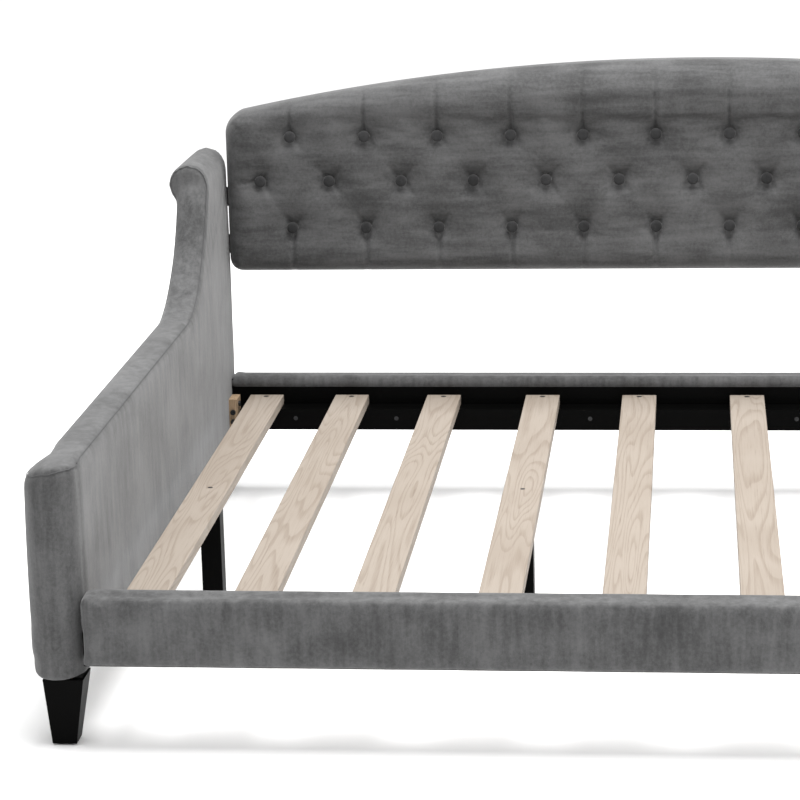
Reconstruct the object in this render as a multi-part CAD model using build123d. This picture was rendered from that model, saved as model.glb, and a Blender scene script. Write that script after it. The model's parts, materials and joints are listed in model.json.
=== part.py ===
"""Full-size upholstered daybed with scroll arms, a buttoned back panel and a slatted base.

+X runs along the length, -Y is the open front, +Z is up. The origin is on the floor, below the
middle of the bounding box. A setback is a distance behind the front-most face. Millimetres.
"""
import math
import os

from build123d import *

os.makedirs("parts", exist_ok=True)

# Envelope and mattress space
CLEAR_LENGTH = 1920.0      # between the arms, for a 1905 x 1372 mattress
DEPTH = 1530.0
HEIGHT = 900.0
HALF = CLEAR_LENGTH / 2

# Arms: a timber core between an inner and an outer pad, with a flared nose and a rolled top
ARM_BOTTOM = 112.0
ARM_TOP = 467.0
INNER_PAD = 18.0
CORE_THICKNESS = 30.0
OUTER_PAD = 22.0
CORE_IN = HALF + INNER_PAD
CORE_OUT = CORE_IN + CORE_THICKNESS
ARM_OUT = CORE_OUT + OUTER_PAD
EDGE_PAD = 20.0            # padding over the core's top edge
REAR_PAD = 6.0
SWEEP_START = 995.0        # setback where the top edge begins to rise
SWEEP_RADIUS = 312.0
SCROLL_RADIUS = 42.0
SCROLL_Z = 686.0
SCROLL_X = HALF + SCROLL_RADIUS + 2.0
SCROLL_FRONT = 1295.0
SCROLL_TAIL = 26.0         # how far the roll's cover runs down the inner face
ARM_EDGE_ROUND = 16.0

# Nose: the padded post at the front of each arm
NOSE_WIDTH = 92.0
NOSE_DEPTH = 110.0
NOSE_TIP = 47.0            # from the inner face to the front-most point
NOSE_CHEEK = 57.0          # setback where the round front meets the inner face
NOSE_EDGE_ROUND = 14.0
FRONT_POST = (983.0, 1028.0, 25.0, 95.0)     # x from, x to, setback from, setback to
REAR_POST = (CORE_IN, CORE_OUT, 1410.0, DEPTH - REAR_PAD)

# Rails and ledgers
RAIL_THICKNESS = 58.0
RAIL_BOTTOM = 134.0
RAIL_TOP = 254.0
RAIL_FACE_PAD = 12.0
RAIL_EDGE_PAD = 8.0
RAIL_UNDER_PAD = 3.0
RAIL_LIP = 2.0             # velvet turned over the inner edge
RAIL_LIP_DROP = 22.0
RAIL_ROUND = 10.0
REAR_RAIL_INNER = 1450.0
LEDGER_WIDTH = 45.0
LEDGER_HEIGHT = 39.0
LEDGER_HALF_LENGTH = 936.0
BLOCK_THICKNESS = 18.0

# Slats and the legs under their middles
SLAT_WIDTH = 70.0
SLAT_THICKNESS = 20.0
SLAT_TOP = 213.0
SLAT_CENTRES = (110.0, 309.0, 514.0, 706.0, 885.0)
SLAT_END_GAP = 1.0
SUPPORTED_SLATS = (309.0, 885.0)
SUPPORT_SETBACK = 760.0
SUPPORT_SIDE = 38.0

# Back panel
PANEL_HALF = 958.0
PANEL_BOTTOM = 470.0
PANEL_SHOULDER = 797.0     # height of the top curve over the panel's ends
PANEL_FRONT = 1452.0
BOARD_FRONT = 1499.0
PANEL_REAR_SKIN = 6.0
BOARD_INSET = 10.0
PANEL_LOWER_CORNER = 30.0
PANEL_UPPER_CORNER = 38.0
PANEL_EDGE_ROUND = 22.0
BUTTON_RADIUS = 12.0
BUTTON_HEIGHT = 8.0
BUTTON_SINK = 16.0
TWINE_RADIUS = 1.0
MIDDLE_ROW_Z = 661.0
OUTER_ROWS_Z = (753.0, 564.0)
MIDDLE_ROW_X = (0.0, 148.5, 297.0, 445.5, 594.0, 742.5, 885.0)
OUTER_ROW_X = (74.0, 221.0, 368.0, 518.0, 668.0, 821.0)

# Corner legs
LEG_HEIGHT = 111.0
GLIDE_HEIGHT = 3.0
LEG_TOP = (964.0, 1030.0, 17.0, 77.0)        # x from, x to, setback from, setback to
LEG_FOOT = (980.5, 1020.0, 20.0, 60.0)
LEG_ROUND = 2.0
LEG_BOLT_X = 997.0
LEG_BOLT_SETBACK = 47.0
GLIDE_RADIUS = 14.0

# Hardware
CLEARANCE = 0.3
DUST_CLOTH = 1.0
SCREW_RADIUS = 2.25
SCREW_HEAD = 4.5
SLAT_SCREW_HEAD = 5.5
SLAT_SCREW_INSET = 13.0    # from the rail's inner face
BOLT_RADIUS = 3.0
BOLT_HEAD = 5.5
BOLT_HEAD_HEIGHT = 4.0
BOLT_KEY = 2.9             # corner radius of the hex socket
BRACKET_THICKNESS = 3.0
BRACKET_LENGTH = 100.0
BRACKET_WIDTH = 40.0
BRACKET_HEIGHTS = (520.0, 620.0)
BRACKET_SCREW_X = (920.0, 944.0, 985.0, 1001.0)


def y_at(setback):
    """Y of a distance behind the front-most face."""
    return setback - DEPTH / 2


def block(x, setback, z):
    """A box from its low and high limits along each axis."""
    size = Box(x[1] - x[0], setback[1] - setback[0], z[1] - z[0])
    return Pos(sum(x) / 2, y_at(sum(setback) / 2), sum(z) / 2) * size


def rod(radius, start, direction, length):
    """A round bar from a start point."""
    return extrude(Plane(origin=start, z_dir=direction) * Circle(radius), length)


def other_side(piece):
    """The same piece at the other end of the length."""
    return mirror(piece, about=Plane.YZ)


def group(pieces):
    """Separate solids held in one node."""
    return Compound([solid for piece in pieces for solid in piece.solids()])


def four_corners(piece):
    """A front right piece and its copies at the other three corners."""
    pair = [piece, mirror(piece, about=Plane.XZ)]
    return pair + [other_side(one) for one in pair]


def save(name, piece):
    """Write one node."""
    export_step(piece, f"parts/{name}.step")


def wood_screw(start, direction, length, head_radius=SCREW_HEAD):
    """A countersunk screw whose head is flush with its start."""
    head_height = head_radius - SCREW_RADIUS
    frame = Plane(origin=start, z_dir=direction)
    head = frame * Pos(0, 0, head_height / 2) * Cone(head_radius, SCREW_RADIUS, head_height)
    return head + rod(SCREW_RADIUS, start, direction, length)


def screw_room(start, direction, length, head_radius=SCREW_HEAD):
    """The countersunk hole for a wood screw."""
    head_height = head_radius - SCREW_RADIUS
    frame = Plane(origin=start, z_dir=direction)
    sink = frame * Pos(0, 0, head_height / 2) * Cone(
        head_radius + CLEARANCE, SCREW_RADIUS + CLEARANCE, head_height)
    return sink + rod(SCREW_RADIUS + CLEARANCE, start, direction, length + CLEARANCE)


def bolt(start, direction, length):
    """A socket-head bolt. The start is under its head."""
    back = tuple(-part for part in direction)
    head = rod(BOLT_HEAD, start, back, BOLT_HEAD_HEIGHT)
    top = tuple(s + b * BOLT_HEAD_HEIGHT for s, b in zip(start, back))
    key = extrude(Plane(origin=top, z_dir=direction) * RegularPolygon(BOLT_KEY, 6), 2.5)
    return head + rod(BOLT_RADIUS, start, direction, length) - key


def bolt_room(start, direction, length):
    """The hole for a bolt's shank."""
    return rod(BOLT_RADIUS + CLEARANCE, start, direction, length + CLEARANCE)


# Arms -----------------------------------------------------------------------------------------

def arm_side(front, rear, inset=0.0):
    """Side outline of the arm behind its nose, up to the middle of the roll."""
    top = ARM_TOP - inset
    radius = SWEEP_RADIUS + inset
    centre = (y_at(SWEEP_START), ARM_TOP + SWEEP_RADIUS)
    turn = math.acos((centre[1] - SCROLL_Z) / radius)

    def on_sweep(angle):
        return centre[0] + radius * math.sin(angle), centre[1] - radius * math.cos(angle)

    with BuildSketch(Plane.YZ) as side:
        with BuildLine():
            Polyline(on_sweep(turn), (y_at(rear), SCROLL_Z), (y_at(rear), ARM_BOTTOM),
                     (y_at(front), ARM_BOTTOM), (y_at(front), top), on_sweep(0))
            ThreePointArc(on_sweep(0), on_sweep(turn / 2), on_sweep(turn))
        make_face()
    return side.sketch


def arm_slab(x_from, x_to, front=NOSE_DEPTH, rear=DEPTH, inset=0.0):
    """The side outline given a thickness along X."""
    slab = extrude(arm_side(front, rear, inset), x_to - x_from, dir=(1, 0, 0))
    return Pos(x_from, 0, 0) * slab


def make_scroll():
    """The rolled top of the arm's rear half, with its cover's tail down the inner face."""
    length = DEPTH - SCROLL_FRONT
    roll = rod(SCROLL_RADIUS, (SCROLL_X, y_at(SCROLL_FRONT), SCROLL_Z), (0, 1, 0), length)
    tail = block((HALF, SCROLL_X), (SCROLL_FRONT, DEPTH), (SCROLL_Z - SCROLL_TAIL, SCROLL_Z))
    return roll + tail


def make_nose_outline():
    """Plan of the nose: two quarter ellipses in front, flared on the outside."""
    tip_x = HALF + NOSE_TIP
    flare = HALF + NOSE_WIDTH
    centre = (tip_x, y_at(NOSE_CHEEK))
    with BuildSketch(Plane.XY.offset(ARM_BOTTOM)) as plan:
        with BuildLine():
            Polyline((ARM_OUT, y_at(NOSE_DEPTH)), (HALF, y_at(NOSE_DEPTH)), (HALF, y_at(NOSE_CHEEK)))
            EllipticalCenterArc(centre, NOSE_TIP, NOSE_CHEEK, 180, arc_size=90)
            EllipticalCenterArc(centre, flare - tip_x, NOSE_CHEEK, 270, arc_size=90)
            Line((flare, y_at(NOSE_CHEEK)), (ARM_OUT, y_at(NOSE_DEPTH)))
        make_face()
    return plan.sketch


def post(limits, top):
    """A timber post between two X and two setback limits."""
    return block(limits[:2], limits[2:], (ARM_BOTTOM, top))


def make_arm(room):
    """The right arm's pieces by name, with holes for the fasteners in room."""
    scroll = make_scroll()
    rear_post_room = post(REAR_POST, SCROLL_Z)
    core = arm_slab(CORE_IN, CORE_OUT, rear=REAR_POST[2], inset=EDGE_PAD)
    inner = arm_slab(HALF, CORE_IN) - scroll
    outer = arm_slab(CORE_OUT, ARM_OUT)
    top_edge = outer.edges().filter_by(Axis.Y).group_by(Axis.X)[-1].sort_by(Axis.Z)[-2:-1]
    rear_wrap = block((CORE_IN, ARM_OUT), (DEPTH - REAR_PAD, DEPTH), (ARM_BOTTOM, SCROLL_Z))
    outer = fillet(top_edge, ARM_EDGE_ROUND) + rear_wrap - scroll
    band = arm_slab(CORE_IN, CORE_OUT, rear=DEPTH - REAR_PAD) - core - rear_post_room - scroll
    nose = extrude(make_nose_outline(), ARM_TOP - ARM_BOTTOM, dir=(0, 0, 1))
    nose = fillet(nose.faces().sort_by(Axis.Z)[-1].edges().sort_by(Axis.Y)[:4], NOSE_EDGE_ROUND)
    front_post = post(FRONT_POST, ARM_TOP - 2 * EDGE_PAD)
    dust = block((HALF + 8, ARM_OUT - 2), (30, DEPTH - REAR_PAD), (LEG_HEIGHT, ARM_BOTTOM))
    pieces = {
        "arm_core": core - scroll,
        "arm_front_post": front_post,
        "arm_rear_post": rear_post_room - scroll,
        "arm_inner_cover": inner,
        "arm_outer_cover": outer,
        "arm_top_band": band,
        "arm_nose": nose - front_post,
        "arm_scroll": scroll,
        "arm_dust_cover": dust,
    }
    return {name: piece - room for name, piece in pieces.items()}


# Legs -----------------------------------------------------------------------------------------

def leg_section(limits, z):
    """A leg's rounded rectangle at one height."""
    x_from, x_to, near, far = limits
    centre = Pos((x_from + x_to) / 2, y_at((near + far) / 2), z)
    return centre * RectangleRounded(x_to - x_from, far - near, LEG_ROUND)


def make_leg():
    """The front right leg, tapered towards its foot, bored for its hanger bolt."""
    leg = loft([leg_section(LEG_FOOT, GLIDE_HEIGHT), leg_section(LEG_TOP, LEG_HEIGHT)])
    return leg - rod(4.3, (LEG_BOLT_X, y_at(LEG_BOLT_SETBACK), 60), (0, 0, 1), 60)


def make_glide(x, setback):
    """A nail-on plastic foot."""
    disc = rod(GLIDE_RADIUS, (x, y_at(setback), 0), (0, 0, 1), GLIDE_HEIGHT)
    return chamfer(disc.edges().sort_by(Axis.Z)[:1], 1.0)


# Rails ----------------------------------------------------------------------------------------

def make_front_rail():
    """The front rail's board and its padded cover."""
    inner = RAIL_THICKNESS - RAIL_LIP
    lip_bottom = RAIL_TOP - RAIL_LIP_DROP
    ends = (-HALF, HALF)
    shell = block(ends, (0, RAIL_THICKNESS), (RAIL_BOTTOM, RAIL_TOP))
    front_edges = shell.faces().sort_by(Axis.Y)[0].edges()
    top_rear = shell.faces().sort_by(Axis.Y)[-1].edges().sort_by(Axis.Z)[-1:]
    shell = fillet(list(front_edges) + list(top_rear), RAIL_ROUND)
    core = block(ends, (RAIL_FACE_PAD, inner), (RAIL_BOTTOM + RAIL_UNDER_PAD, RAIL_TOP - RAIL_EDGE_PAD))
    bare = block(ends, (inner, RAIL_THICKNESS), (RAIL_BOTTOM, lip_bottom))
    return core, shell - core - bare


def rail_fittings():
    """The front right corner block, the front ledger, and their fasteners with their holes."""
    inner = RAIL_THICKNESS - RAIL_LIP
    reach = (inner, inner + LEDGER_WIDTH)
    ledger_top = SLAT_TOP - SLAT_THICKNESS
    corner = block((HALF - BLOCK_THICKNESS, HALF), reach, (RAIL_BOTTOM + 1, SLAT_TOP))
    ledger = block((-LEDGER_HALF_LENGTH, LEDGER_HALF_LENGTH), reach,
                   (ledger_top - LEDGER_HEIGHT, ledger_top))
    arm_bolts = [((HALF - BLOCK_THICKNESS, y_at(82), z), (1, 0, 0), 62) for z in (152, 200)]
    rail_bolts = [((HALF - BLOCK_THICKNESS / 2, y_at(reach[1]), z), (0, -1, 0), 75)
                  for z in (166, 186)]
    screws = [((side * x, y_at(reach[1]), ledger_top - LEDGER_HEIGHT / 2), (0, -1, 0), 75)
              for side in (-1, 1) for x in (210, 610, 820)]
    return corner, ledger, arm_bolts, rail_bolts, screws


def to_rear(piece):
    """A front rail piece turned to face the other way at the rear rail."""
    shift = REAR_RAIL_INNER + RAIL_THICKNESS - DEPTH
    return Pos(0, shift, 0) * mirror(piece, about=Plane.XZ)


# Slats ----------------------------------------------------------------------------------------

def slat_screw_starts(x):
    """The two end screws of one slat."""
    near = RAIL_THICKNESS + SLAT_SCREW_INSET
    far = REAR_RAIL_INNER - SLAT_SCREW_INSET
    return [(x, y_at(setback), SLAT_TOP) for setback in (near, far)]


def make_slat(x, room):
    """A slat with eased long edges and its screw holes."""
    ends = (RAIL_THICKNESS + SLAT_END_GAP, REAR_RAIL_INNER - SLAT_END_GAP)
    slat = block((x - SLAT_WIDTH / 2, x + SLAT_WIDTH / 2), ends, (SLAT_TOP - SLAT_THICKNESS, SLAT_TOP))
    return fillet(slat.edges().filter_by(Axis.Y), 1.5) - room


# Back panel -----------------------------------------------------------------------------------

def panel_solid(near, far, inset=0.0):
    """The arched back outline, drawn in by an inset, between two setbacks."""
    half = PANEL_HALF - inset
    low = PANEL_BOTTOM + inset
    shoulder = PANEL_SHOULDER - inset
    face_plane = Plane(origin=(0, y_at(far), 0), x_dir=(1, 0, 0), z_dir=(0, -1, 0))
    with BuildSketch(face_plane) as face:
        with BuildLine():
            Polyline((half, shoulder), (half, low), (-half, low), (-half, shoulder))
            ThreePointArc((-half, shoulder), (0, HEIGHT - inset), (half, shoulder))
        make_face()
        fillet(face.vertices().sort_by(Axis.Y)[:2], PANEL_LOWER_CORNER - inset)
        fillet(face.vertices().sort_by(Axis.Y)[-2:], PANEL_UPPER_CORNER - inset)
    return extrude(face.sketch, far - near, dir=(0, -1, 0))


def button_places():
    """X and Z of each button: staggered rows."""
    middle = [(side * x, MIDDLE_ROW_Z) for x in MIDDLE_ROW_X for side in (-1, 1) if x or side > 0]
    outer = [(side * x, z) for z in OUTER_ROWS_Z for x in OUTER_ROW_X for side in (-1, 1)]
    return middle + outer


def make_back_panel(room):
    """Board, buttoned padding, rear skin, buttons and the twines that pull them in."""
    skin_front = DEPTH - PANEL_REAR_SKIN
    board = panel_solid(BOARD_FRONT, skin_front, BOARD_INSET)
    padding = panel_solid(PANEL_FRONT, skin_front)
    front_loop = padding.faces().sort_by(Axis.Y)[0].edges()
    padding = fillet(front_loop, PANEL_EDGE_ROUND) - board
    buttons, twines, pockets = [], [], []
    seat = PANEL_FRONT + BUTTON_SINK
    for x, z in button_places():
        button = rod(BUTTON_RADIUS, (x, y_at(seat), z), (0, -1, 0), BUTTON_HEIGHT)
        buttons.append(fillet(button.edges().sort_by(Axis.Y)[:1], 4.0))
        twines.append(rod(TWINE_RADIUS, (x, y_at(seat), z), (0, 1, 0), BOARD_FRONT - seat))
        pockets.append(rod(BUTTON_RADIUS + 1, (x, y_at(seat), z), (0, -1, 0), BUTTON_SINK + 1))
        pockets.append(rod(TWINE_RADIUS + CLEARANCE, (x, y_at(BOARD_FRONT), z), (0, -1, 0),
                           BOARD_FRONT - seat))
    skin = panel_solid(skin_front, DEPTH, PANEL_REAR_SKIN)
    return {
        "back_board": board - room,
        "back_padding": padding - pockets - room,
        "back_rear_cover": skin - room,
        "back_buttons": group(buttons),
        "back_tufting_twines": group(twines),
    }


def bracket_set():
    """Right-hand plates over the joint between panel and arm, their screws and their rooms."""
    plate_face = DEPTH - PANEL_REAR_SKIN
    reach = (HALF - BRACKET_LENGTH / 2, HALF + BRACKET_LENGTH / 2)
    plates, screws, rooms = [], [], []
    for z in BRACKET_HEIGHTS:
        limits = (z - BRACKET_WIDTH / 2, z + BRACKET_WIDTH / 2)
        plate = block(reach, (plate_face, plate_face + BRACKET_THICKNESS), limits)
        for x in BRACKET_SCREW_X:
            start = (x, y_at(plate_face + BRACKET_THICKNESS), z)
            screws.append(rod(BOLT_HEAD, start, (0, 1, 0), PANEL_REAR_SKIN - BRACKET_THICKNESS)
                          + rod(SCREW_RADIUS, start, (0, -1, 0), 22))
            hole = rod(SCREW_RADIUS + CLEARANCE, start, (0, -1, 0), 22 + CLEARANCE)
            plate -= hole
            rooms.append(hole)
        plates.append(plate)
        rooms.append(block((reach[0] - 1, reach[1] + 1), (plate_face, DEPTH + 1),
                           (limits[0] - 1, limits[1] + 1)))
    return plates, screws, rooms


def main():
    """Build every node and write it."""
    corner, ledger, arm_bolts, rail_bolts, ledger_screws = rail_fittings()
    arm_bolt_room = [bolt_room(*place) for place in arm_bolts]
    rail_bolt_room = [bolt_room(*place) for place in rail_bolts]
    plates, plate_screws, plate_rooms = bracket_set()

    # corner legs, their bolts, inserts and glides
    bolt_axis = (LEG_BOLT_X, y_at(LEG_BOLT_SETBACK))
    leg = make_leg()
    for name, piece in zip(("front_right", "rear_right", "front_left", "rear_left"), four_corners(leg)):
        save(f"{name}_leg", piece)
    hanger = rod(4.0, (*bolt_axis, 62), (0, 0, 1), 90)
    insert_room = rod(6.6, (*bolt_axis, ARM_BOTTOM), (0, 0, 1), 22)
    hanger_room = rod(4.3, (*bolt_axis, 61), (0, 0, 1), 93)
    insert = rod(6.4, (*bolt_axis, ARM_BOTTOM), (0, 0, 1), 20) - hanger_room
    foot = ((LEG_FOOT[0] + LEG_FOOT[1]) / 2, (LEG_FOOT[2] + LEG_FOOT[3]) / 2)
    save("leg_hanger_bolts", group(four_corners(hanger)))
    save("leg_threaded_inserts", group(four_corners(insert)))
    save("leg_glides", group(four_corners(make_glide(*foot))))

    # arms
    front_room = [insert_room, hanger_room] + arm_bolt_room
    rear_room = [mirror(piece, about=Plane.XZ) for piece in (insert_room, hanger_room)]
    rear_room += [to_rear(piece) for piece in arm_bolt_room]
    for name, piece in make_arm(front_room + rear_room + plate_rooms).items():
        save(f"right_{name}", piece)
        save(f"left_{name}", other_side(piece))

    # rails, ledgers and corner blocks
    ledger_room = [screw_room(*place) for place in ledger_screws]
    slat_starts = [start for side in (-1, 1) for x in SLAT_CENTRES for start in slat_screw_starts(side * x)]
    slat_room = [screw_room(start, (0, 0, -1), 40, SLAT_SCREW_HEAD) for start in slat_starts]
    board, cover = make_front_rail()
    fixings = ledger_room + rail_bolt_room + [other_side(piece) for piece in rail_bolt_room]
    board -= fixings
    ledger -= ledger_room
    save("front_rail_board", board)
    save("front_rail_cover", cover)
    save("front_ledger", ledger - slat_room)
    save("rear_rail_board", to_rear(board))
    save("rear_rail_cover", to_rear(cover))
    save("rear_ledger", to_rear(ledger) - slat_room)
    corner -= arm_bolt_room + rail_bolt_room
    right_blocks = [corner, to_rear(corner)]
    save("corner_blocks", group(right_blocks + [other_side(piece) for piece in right_blocks]))
    for name, places in (("corner_block_arm_bolts", arm_bolts), ("corner_block_rail_bolts", rail_bolts)):
        front = [bolt(*place) for place in places]
        right = front + [to_rear(piece) for piece in front]
        save(name, group(right + [other_side(piece) for piece in right]))
    screws = [wood_screw(*place) for place in ledger_screws]
    save("ledger_screws", group(screws + [to_rear(piece) for piece in screws]))

    # slats, numbered from the left, and the legs under four of them
    mid_starts = [(side * x, y_at(SUPPORT_SETBACK), SLAT_TOP) for side in (-1, 1) for x in SUPPORTED_SLATS]
    mid_room = [screw_room(start, (0, 0, -1), 80) for start in mid_starts]
    centres = sorted([-x for x in SLAT_CENTRES] + list(SLAT_CENTRES))
    for number, x in enumerate(centres, 1):
        save(f"slat_{number:02d}", make_slat(x, slat_room + mid_room))
    slat_screws = [wood_screw(start, (0, 0, -1), 40, SLAT_SCREW_HEAD) for start in slat_starts]
    save("slat_screws", group(slat_screws))
    save("support_leg_screws", group([wood_screw(start, (0, 0, -1), 80) for start in mid_starts]))
    half_side = SUPPORT_SIDE / 2
    supports = sorted(start[0] for start in mid_starts)
    for number, x in enumerate(supports, 1):
        leg = block((x - half_side, x + half_side),
                    (SUPPORT_SETBACK - half_side, SUPPORT_SETBACK + half_side),
                    (GLIDE_HEIGHT, SLAT_TOP - SLAT_THICKNESS))
        save(f"support_leg_{number}", fillet(leg.edges().filter_by(Axis.Z), LEG_ROUND) - mid_room)
    save("support_leg_glides", group([make_glide(x, SUPPORT_SETBACK) for x in supports]))

    # back panel and its brackets
    both_rooms = plate_rooms + [other_side(piece) for piece in plate_rooms]
    for name, piece in make_back_panel(both_rooms).items():
        save(name, piece)
    save("back_brackets", group(plates + [other_side(piece) for piece in plates]))
    save("back_bracket_screws", group(plate_screws + [other_side(piece) for piece in plate_screws]))


main()
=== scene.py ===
"""Visual model of an upholstered daybed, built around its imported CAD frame. Metres, +Z up, -Y is the open front."""
import json
import logging
import math
from dataclasses import dataclass, field
from enum import Enum
from typing import Callable, Iterable, Optional, Sequence

import bmesh
import bpy
import numpy as np
from mathutils import Matrix, Vector
from mathutils.bvhtree import BVHTree
from mathutils.kdtree import KDTree


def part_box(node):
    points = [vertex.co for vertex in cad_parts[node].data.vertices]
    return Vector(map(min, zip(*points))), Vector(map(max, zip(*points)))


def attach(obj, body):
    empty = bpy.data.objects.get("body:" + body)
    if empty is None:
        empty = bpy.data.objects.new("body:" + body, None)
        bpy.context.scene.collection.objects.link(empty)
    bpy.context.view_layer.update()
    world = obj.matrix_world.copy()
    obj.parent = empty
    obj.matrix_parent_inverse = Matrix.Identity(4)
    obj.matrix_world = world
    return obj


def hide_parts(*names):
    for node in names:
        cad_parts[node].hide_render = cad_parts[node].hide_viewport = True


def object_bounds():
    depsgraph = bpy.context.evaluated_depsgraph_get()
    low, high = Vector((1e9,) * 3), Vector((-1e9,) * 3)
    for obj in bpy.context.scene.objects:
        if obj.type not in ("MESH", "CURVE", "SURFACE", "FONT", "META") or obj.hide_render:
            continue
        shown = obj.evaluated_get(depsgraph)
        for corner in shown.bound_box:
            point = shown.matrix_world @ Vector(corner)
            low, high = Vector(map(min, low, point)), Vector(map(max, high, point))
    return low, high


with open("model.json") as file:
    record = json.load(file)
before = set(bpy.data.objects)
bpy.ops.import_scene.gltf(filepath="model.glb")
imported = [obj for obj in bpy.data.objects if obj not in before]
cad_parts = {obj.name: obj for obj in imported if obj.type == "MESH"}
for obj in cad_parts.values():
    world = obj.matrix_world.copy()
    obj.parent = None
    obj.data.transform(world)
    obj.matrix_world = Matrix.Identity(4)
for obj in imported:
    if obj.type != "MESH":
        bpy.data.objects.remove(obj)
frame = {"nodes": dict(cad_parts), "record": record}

log = logging.getLogger("daybed")

CAD_BOX = [list(corner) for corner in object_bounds()]
MM = 0.001
FRONT = CAD_BOX[0][1]
DEPTH = CAD_BOX[1][1] - CAD_BOX[0][1]


def y_at(setback: float) -> float:
    """Y of a distance behind the front-most face."""
    return FRONT + setback


def smooth_step(low: float, high: float, value: np.ndarray) -> np.ndarray:
    """A smooth rise from 0 at low to 1 at high.

    Args:
        low: where the rise starts.
        high: where it ends.
        value: the numbers to look up.

    Returns:
        The risen numbers, from 0 to 1.
    """
    t = np.clip((value - low) / (high - low), 0.0, 1.0)
    return t * t * (3.0 - 2.0 * t)


# Shaders ------------------------------------------------------------------------------------------


class Value:
    """A number socket that takes part in Python arithmetic by adding Math nodes."""

    def __init__(self, shade: "Shade", socket: bpy.types.NodeSocket) -> None:
        """Wraps an output socket of a shade's tree."""
        self.shade = shade
        self.socket = socket

    def _math(self, operation: str, *others: object) -> "Value":
        """Adds one Math node.

        Args:
            operation: the node's operation.
            others: the two or three operands, values or numbers.

        Returns:
            The node's result.
        """
        return self.shade.node("ShaderNodeMath", {"operation": operation}, dict(enumerate(others)))

    def __add__(self, other: object) -> "Value":
        """self + other."""
        return self._math("ADD", self, other)

    __radd__ = __add__

    def __sub__(self, other: object) -> "Value":
        """self - other."""
        return self._math("SUBTRACT", self, other)

    def __rsub__(self, other: object) -> "Value":
        """other - self."""
        return self._math("SUBTRACT", other, self)

    def __mul__(self, other: object) -> "Value":
        """self * other."""
        return self._math("MULTIPLY", self, other)

    __rmul__ = __mul__

    def __truediv__(self, other: object) -> "Value":
        """self / other."""
        return self._math("DIVIDE", self, other)

    def __pow__(self, other: object) -> "Value":
        """self to a power."""
        return self._math("POWER", self, other)

    def between(self, low: float, high: float) -> "Value":
        """A smooth rise from 0 at low to 1 at high."""
        settings = {"interpolation_type": "SMOOTHSTEP"}
        return self.shade.node("ShaderNodeMapRange", settings, {0: self, 1: low, 2: high})


class Shade:
    """One material's node tree, built on its Principled shader."""

    def __init__(self, name: str) -> None:
        """Makes the material with an empty tree but for the shader and the output."""
        self.material = bpy.data.materials.new(name)
        self.material.use_nodes = True
        self.tree = self.material.node_tree
        self.surface = self.tree.nodes["Principled BSDF"]

    def _feed(self, socket: bpy.types.NodeSocket, value: object) -> None:
        """Links or sets one input."""
        if isinstance(value, Value):
            self.tree.links.new(value.socket, socket)
        elif isinstance(value, bpy.types.NodeSocket):
            self.tree.links.new(value, socket)
        else:
            socket.default_value = value

    def node(self, kind: str, settings: Optional[dict] = None, inputs: Optional[dict] = None,
             output: object = 0) -> Value:
        """Adds a node.

        Args:
            kind: the node's type.
            settings: its attributes, set before its inputs; "stops" are a ramp's positions and greys.
            inputs: values or links by socket name or number.
            output: the name or number of the output wanted.

        Returns:
            That output.
        """
        made = self.tree.nodes.new(kind)
        for key, value in (settings or {}).items():
            if key == "stops":
                self._set_stops(made.color_ramp, value)
            else:
                setattr(made, key, value)
        for key, value in (inputs or {}).items():
            self._feed(made.inputs[key], value)
        return Value(self, made.outputs[output])

    @staticmethod
    def _set_stops(ramp: bpy.types.ColorRamp, stops: Sequence[tuple]) -> None:
        """Gives a ramp its positions and colours."""
        while len(ramp.elements) > len(stops):
            ramp.elements.remove(ramp.elements[-1])
        while len(ramp.elements) < len(stops):
            ramp.elements.new(1.0)
        for element, (position, colour) in zip(ramp.elements, stops):
            element.position = position
            element.color = (*colour, 1.0)

    def place(self, stretch: Sequence[float] = (1.0, 1.0, 1.0), turn: Sequence[float] = (0.0, 0.0, 0.0)) -> Value:
        """Object coordinates, stretched and turned about the origin."""
        coordinates = self.node("ShaderNodeTexCoord", output="Object")
        return self.node("ShaderNodeMapping", None, {0: coordinates, "Rotation": turn, "Scale": stretch})

    def noise(self, scale: float, detail: float = 2.0, roughness: float = 0.5,
              place: Optional[Value] = None, distortion: float = 0.0) -> Value:
        """A noise pattern from 0 to 1 with features about 1 / scale across."""
        inputs = {"Vector": place or self.place(), "Scale": scale, "Detail": detail,
                  "Roughness": roughness, "Distortion": distortion}
        return self.node("ShaderNodeTexNoise", {"noise_dimensions": "3D"}, inputs)

    def mix(self, factor: object, first: object, second: object) -> Value:
        """A blend of two colours.

        Args:
            factor: 0 for the first, 1 for the second.
            first: a colour, as a link or as red, green and blue.
            second: the same.

        Returns:
            The blended colour.
        """
        made = self.tree.nodes.new("ShaderNodeMix")
        made.data_type = "RGBA"
        self._feed(made.inputs[0], factor)
        for socket, colour in ((made.inputs[6], first), (made.inputs[7], second)):
            self._feed(socket, colour if isinstance(colour, Value) else (*colour, 1.0))
        return Value(self, made.outputs[2])

    def set(self, **constants: object) -> None:
        """Sets constants on the shader's own sockets, with spaces for underscores in their names."""
        for name, value in constants.items():
            self.surface.inputs[name.replace("_", " ")].default_value = value

    def feed(self, name: str, value: Value) -> None:
        """Links a varying value to one of the shader's sockets."""
        self._feed(self.surface.inputs[name], value)

    def bump(self, height: Value, distance: float, strength: float = 1.0) -> None:
        """Turns a height pattern into relief of that depth in metres."""
        made = self.node("ShaderNodeBump", None, {"Strength": strength, "Distance": distance, "Height": height})
        self.feed("Normal", made)


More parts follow.
